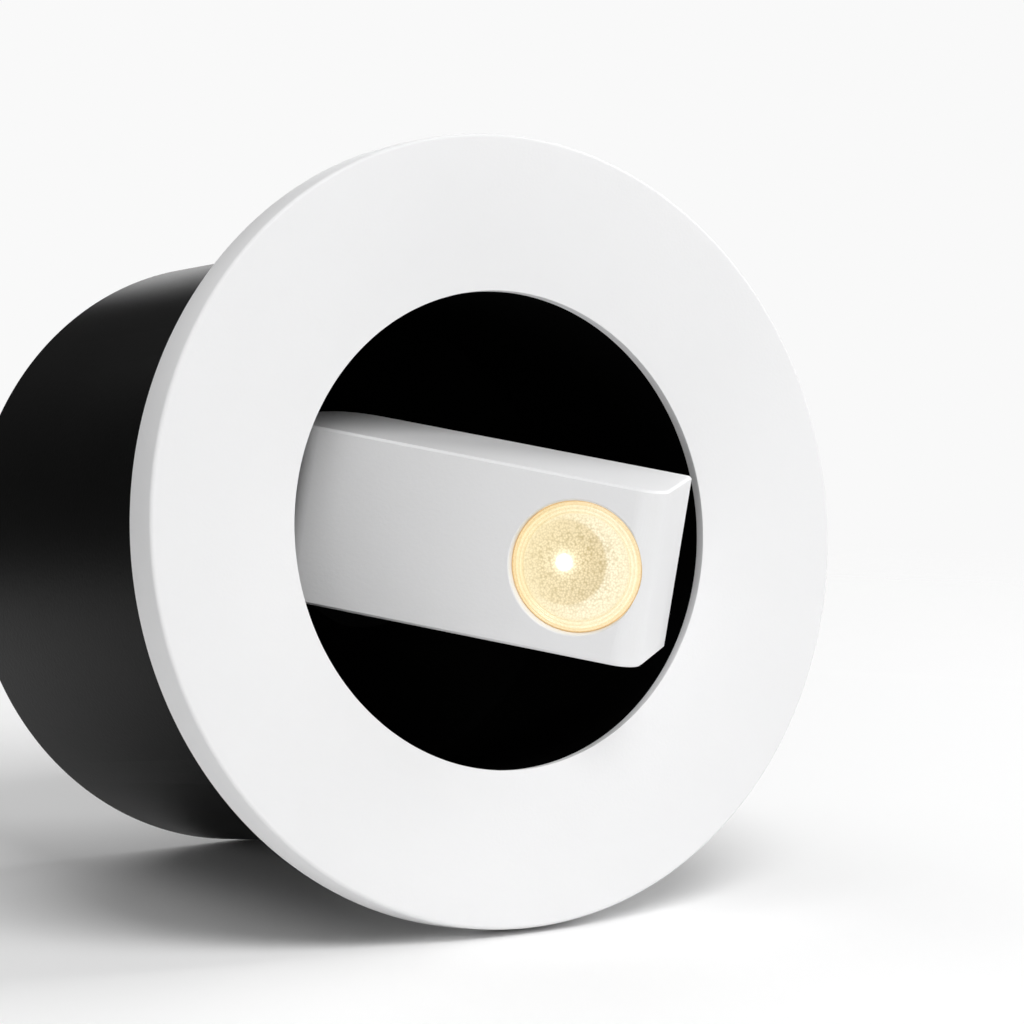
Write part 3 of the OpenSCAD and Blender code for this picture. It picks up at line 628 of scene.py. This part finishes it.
outline = [(LENS_R, LENS_BACK), (LENS_R, LENS_FRONT)]
for i in reversed(range(STEPS)):
    r, front = STEP_START + STEP_PITCH * i, STEP_FRONT + STEP_FALL * i
    outline += [(r + STEP_PITCH / 2, front + STEP_DEEP), (r, front)]
for i in reversed(range(1, DOME_ROUNDS + 1)):
    share = i / DOME_ROUNDS
    outline.append((DOME_R * share, DOME_FRONT + DOME_RISE * share ** 2))
lens = settle(turned("lens_glass", outline, 160), lens_place @ LATHE, 60.0)
hand_over(lens, lens_glass(), "head", "lens_warm", "lens")

# ---------------------------------------------------------------------------------------------------------------
# Bowl: a moulded reflector behind the lens, with a collar that fills the room and a neck down to the board. Its
# inside is curved and stepped, and glows with painted light, in painted lighter and darker rings and facets.
COLLAR_R, COLLAR_BACK, NECK_R, BOARD_FRONT, FLAT_GAP = 6.9, -3.1, 3.6, -1.5, 0.05
GLOW_REACH, FACET_FINENESS, FACET_SHARE, BOWL_GLOW = 7.0, 1500.0, 0.6, 0.6


def glowing_bowl():
    material, tree, links, surface = new_material("bowl_painted_glow", (0.92, 0.84, 0.62), 0.3)
    vector = piece_coordinates(tree, links, lens_place)
    # Painted light: a bright middle, a darker ring, and a lighter ring outside it, where the source's light would
    # lie in the bowl.
    glow = from_axis(tree, links, vector, GLOW_REACH, (
        (0.0, (1.0, 0.96, 0.80)), (0.34, (0.62, 0.54, 0.36)), (0.47, (0.50, 0.44, 0.29)),
        (0.50, (0.92, 0.82, 0.58)), (0.80, (1.0, 0.90, 0.66)), (1.0, (0.80, 0.62, 0.34))))
    cells = tree.new("ShaderNodeTexVoronoi")
    cells.inputs["Scale"].default_value = FACET_FINENESS
    links.new(vector, cells.inputs["Vector"])
    # Painted light: the facets are painted lighter and darker, cell by cell.
    facets = shades(tree, links, cells.outputs["Distance"], ((0.2, (1.0, 1.0, 1.0)), (0.8, (0.78, 0.76, 0.70))))
    shade = blend(tree, links, "MULTIPLY", FACET_SHARE, glow, facets)
    links.new(shade, surface.inputs["Base Color"])
    # Painted light: the bowl emits this colour, though it is no lamp.
    links.new(shade, surface.inputs["Emission Color"])
    surface.inputs["Emission Strength"].default_value = BOWL_GLOW
    relief(tree, links, surface, cells.outputs["Distance"], 0.4, 0.1)
    return material


MIRROR = [(5.9, LENS_BACK), (5.75, -4.55), (5.3, -4.15), (4.5, -3.85), (3.1, -3.7), (3.0, -3.62), (2.8, -2.9),
          (2.4, BOARD_FRONT)]
bowl = turned("bowl", MIRROR + [
    (NECK_R, BOARD_FRONT), (NECK_R, COLLAR_BACK), (COLLAR_R, COLLAR_BACK), (COLLAR_R, LENS_BACK)], 128, solid=False)
settle(bowl, lens_place @ LATHE)
cut(bowl, block("collar_flat", (ROOM_RIGHT - FLAT_GAP, LENS_BACK - OVER, -HEAD_HALF),
                (HEAD_RIGHT, 0.0, HEAD_HALF), HEAD))
smoothed(bowl, 40.0)
hand_over(bowl, glowing_bowl(), "head", "optic_white", "optic")

# ---------------------------------------------------------------------------------------------------------------
# Light source: a square chip with a low, phosphor-filled dome, soldered to a white board on a milled aluminium
# block that takes its heat to the shell. Two leads run back from the board.
CHIP_HALF, CHIP_EDGE, BASE_FRONT, GLOW_R, GLOW_H, GLOW_STEPS = 1.5, 0.1, -1.9, 0.75, 0.2, 8

led_glow, tree, links, surface = new_material("led_glow", (0.95, 0.85, 0.55), 0.5)
links.new(shades(tree, links, grain(tree, links, piece_coordinates(tree, links, HEAD), 1800.0),
                 ((0.3, (1.0, 0.90, 0.62)), (0.7, (1.0, 0.96, 0.78)))), surface.inputs["Emission Color"])
surface.inputs["Emission Strength"].default_value = 1.2
chip = block("led_dome", (-CHIP_HALF, BASE_FRONT, -CHIP_HALF), (CHIP_HALF, BOARD_FRONT, CHIP_HALF), WALL)
break_rims(chip, CHIP_EDGE, 2)
settle(chip, lens_place)
angles = [math.pi / 2 * i / GLOW_STEPS for i in range(GLOW_STEPS)]
dome = turned("dome", [(GLOW_R * math.cos(a), BASE_FRONT - GLOW_H * math.sin(a)) for a in angles], 48)
chip = joined("led_dome", [chip, settle(dome, lens_place @ LATHE)])
smoothed(chip)
hand_over(chip, led_glow, "head", "led_yellow", "led_chip")

board_white = smooth_finish("board_white", (0.80, 0.80, 0.77), (0.85, 0.85, 0.82), 0.35, 900.0, 0.03, HEAD)
aluminium = plain_metal("aluminium", (0.76, 0.77, 0.78), 0.35, HEAD)
dress("led_board", board_white)
dress("heat_block", aluminium)
dress("head_leads", lead_red)

# ---------------------------------------------------------------------------------------------------------------
# Floor: a pale table top under the light, sloped as in the photo so that ring and housing both rest on it. It fades
# out into the white background.
FLOOR_R, FLOOR_DROP, FADE_R = 450.0, 0.02, 300.0

bpy.ops.mesh.primitive_circle_add(vertices=128, radius=FLOOR_R * MM, fill_type="NGON")
floor = bpy.context.object
floor.name = "floor"
floor.matrix_world = shifted(WALL, 0, 0, -RING_R - FLOOR_DROP) @ Matrix.Rotation(
    math.atan2(RING_R - CAN_R, CAN_DEPTH), 4, "X")
floor_pale, tree, links, surface = new_material("floor_pale", (0.91, 0.91, 0.91), 0.9)
nearness = tree.new("ShaderNodeTexGradient")
nearness.gradient_type = "SPHERICAL"
spread = tree.new("ShaderNodeVectorMath")
spread.operation = "SCALE"
spread.inputs["Scale"].default_value = 1 / (FADE_R * MM)
links.new(piece_coordinates(tree, links, WALL), spread.inputs[0])
links.new(spread.outputs["Vector"], nearness.inputs["Vector"])
clear = tree.new("ShaderNodeBsdfTransparent")
mix = tree.new("ShaderNodeMixShader")
fade = shades(tree, links, nearness.outputs["Fac"], ((0.05, (0.0, 0.0, 0.0)), (0.45, (1.0, 1.0, 1.0))))
links.new(fade, mix.inputs["Fac"])
links.new(clear.outputs["BSDF"], mix.inputs[1])
links.new(surface.outputs["BSDF"], mix.inputs[2])
links.new(mix.outputs["Shader"], tree["Material Output"].inputs["Surface"])
floor.data.materials.append(floor_pale)

# ---------------------------------------------------------------------------------------------------------------
# Lighting: large soft lamps, the strongest above in front and at the upper right, in a dim even surround. Only the
# camera sees the white background itself, and what a gloss mirrors is darker still.
SURROUND, MIRRORED, BACKGROUND = 0.128, 0.05, 0.948


def softbox(name, place, side, watts):
    """A square lamp that points at the light."""
    bpy.ops.object.light_add(type="AREA", location=place)
    lamp = bpy.context.object
    lamp.name = name
    lamp.data.shape = "SQUARE"
    lamp.data.size = side
    lamp.data.energy = watts
    lamp.rotation_euler = (-Vector(place)).to_track_quat("-Z", "Y").to_euler()


softbox("upper_front", (0.0, -0.70, 0.62), 0.5, 6.1)
softbox("left_front", (-0.50, -0.72, 0.05), 0.4, 1.0)
softbox("upper_right", (0.80, -0.10, 0.50), 0.5, 4.5)
softbox("upper_rear", (-0.30, 0.40, 0.75), 0.6, 1.9)
softbox("rear_right", (0.50, 0.65, 0.10), 0.5, 2.5)
softbox("left_rear", (-0.85, 0.12, 0.12), 0.5, 0.4)

world = bpy.data.worlds.new("surround")
bpy.context.scene.world = world
world.use_nodes = True
tree, links = world.node_tree.nodes, world.node_tree.links
path = tree.new("ShaderNodeLightPath")
seen = tree["Background"].outputs["Background"]
tree["Background"].inputs["Color"].default_value = (SURROUND, SURROUND, SURROUND, 1.0)
for ray, level in (("Is Glossy Ray", MIRRORED), ("Is Camera Ray", BACKGROUND)):
    other = tree.new("ShaderNodeBackground")
    other.inputs["Color"].default_value = (level, level, level, 1.0)
    mix = tree.new("ShaderNodeMixShader")
    links.new(path.outputs[ray], mix.inputs["Fac"])
    links.new(seen, mix.inputs[1])
    links.new(other.outputs["Background"], mix.inputs[2])
    seen = mix.outputs["Shader"]
links.new(seen, tree["World Output"].inputs["Surface"])

# ---------------------------------------------------------------------------------------------------------------
# Camera: a long lens, to the left of the light and level with it, rolled by a few degrees. Its place was fitted to
# the outlines in the photo.
CAMERA_PLACE, CAMERA_LENS = (-0.26548, -0.43134, 0.0), 176.07
AZIMUTH, ROLL, PAN, PITCH = 0.5563, 0.0809, 0.0016, -0.0036

side, ahead = math.sin(AZIMUTH), math.cos(AZIMUTH)
upright = Matrix(((ahead, -side, 0), (0, 0, 1), (-side, -ahead, 0)))
look = Matrix.Rotation(PITCH, 3, "X") @ Matrix.Rotation(PAN, 3, "Y") @ Matrix.Rotation(ROLL, 3, "Z") @ upright
bpy.ops.object.camera_add(location=CAMERA_PLACE)
camera = bpy.context.object
camera.matrix_world = Matrix.Translation(CAMERA_PLACE) @ look.transposed().to_4x4()
camera.data.sensor_width = 36.0
camera.data.lens = CAMERA_LENS
camera.data.clip_start = 0.01
bpy.context.scene.camera = camera
bpy.context.scene.view_settings.view_transform = "Standard"
